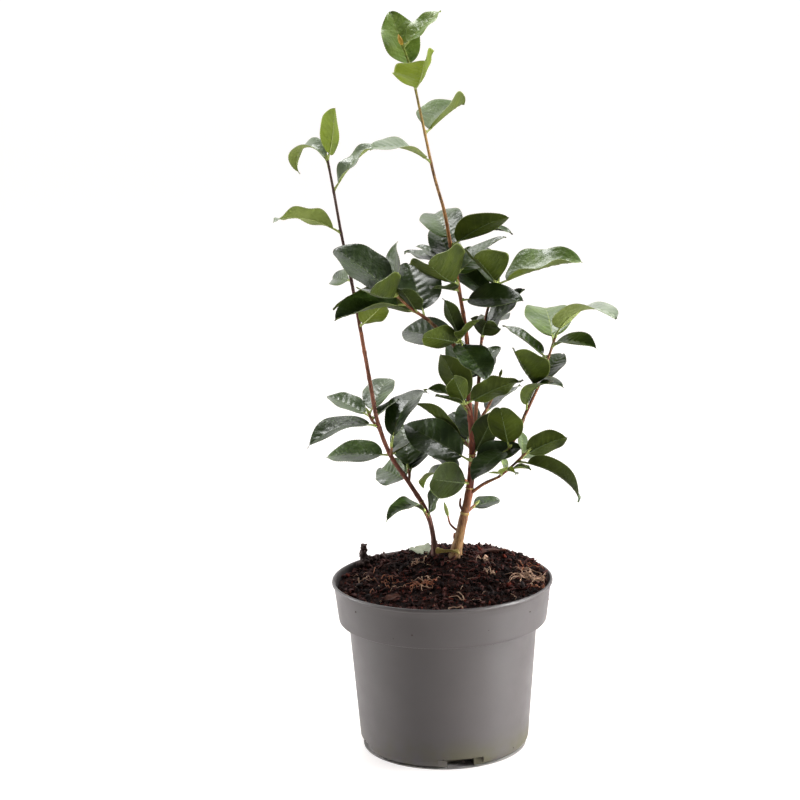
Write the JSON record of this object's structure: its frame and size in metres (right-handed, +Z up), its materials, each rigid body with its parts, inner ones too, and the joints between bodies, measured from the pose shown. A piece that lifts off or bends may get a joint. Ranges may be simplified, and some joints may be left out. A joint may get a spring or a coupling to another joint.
{
  "type": "potted camellia shrub",
  "caption": "Young evergreen camellia shrub with glossy oval leaves on slim stems, growing in dark compost in a round grey plastic nursery pot.",
  "frame": {"origin": "centre of the pot's flat underside, on the surface it stands on", "axes": "+Z up, -Y towards the front of the plant, +X to its right as seen from the front"},
  "size_m": [0.2862, 0.2002, 0.6264],
  "materials": {
    "pot": "matte moulded polypropylene, grey",
    "compost": "damp crumbly peat and bark",
    "bark": "thin smooth red-brown bark",
    "leaves": "leathery, glossy above and matt below"
  },
  "bodies": {
    "root": {"pot": "pot", "compost": "compost", "trunk": "bark", "left_stem": "bark", "low_right_branch": "bark", "right_branch": "bark", "upper_right_branch": "bark", "left_branch": "bark", "top_leaves": "leaves", "left_top_leaves": "leaves", "left_upper_leaves": "leaves", "left_middle_leaves": "leaves", "left_low_leaves": "leaves", "left_foot_leaves": "leaves", "left_shoot_leaves": "leaves", "upper_right_leaves": "leaves", "right_shoot_leaves": "leaves", "right_fork_leaves": "leaves", "low_right_leaves": "leaves", "right_middle_leaves": "leaves", "foot_leaves": "leaves", "low_left_leaves": "leaves", "low_front_leaves": "leaves", "low_back_leaves": "leaves", "middle_front_leaves": "leaves", "middle_back_leaves": "leaves", "upper_middle_leaves": "leaves", "crown_front_leaves": "leaves", "crown_back_leaves": "leaves"}
  },
  "joints": []
}
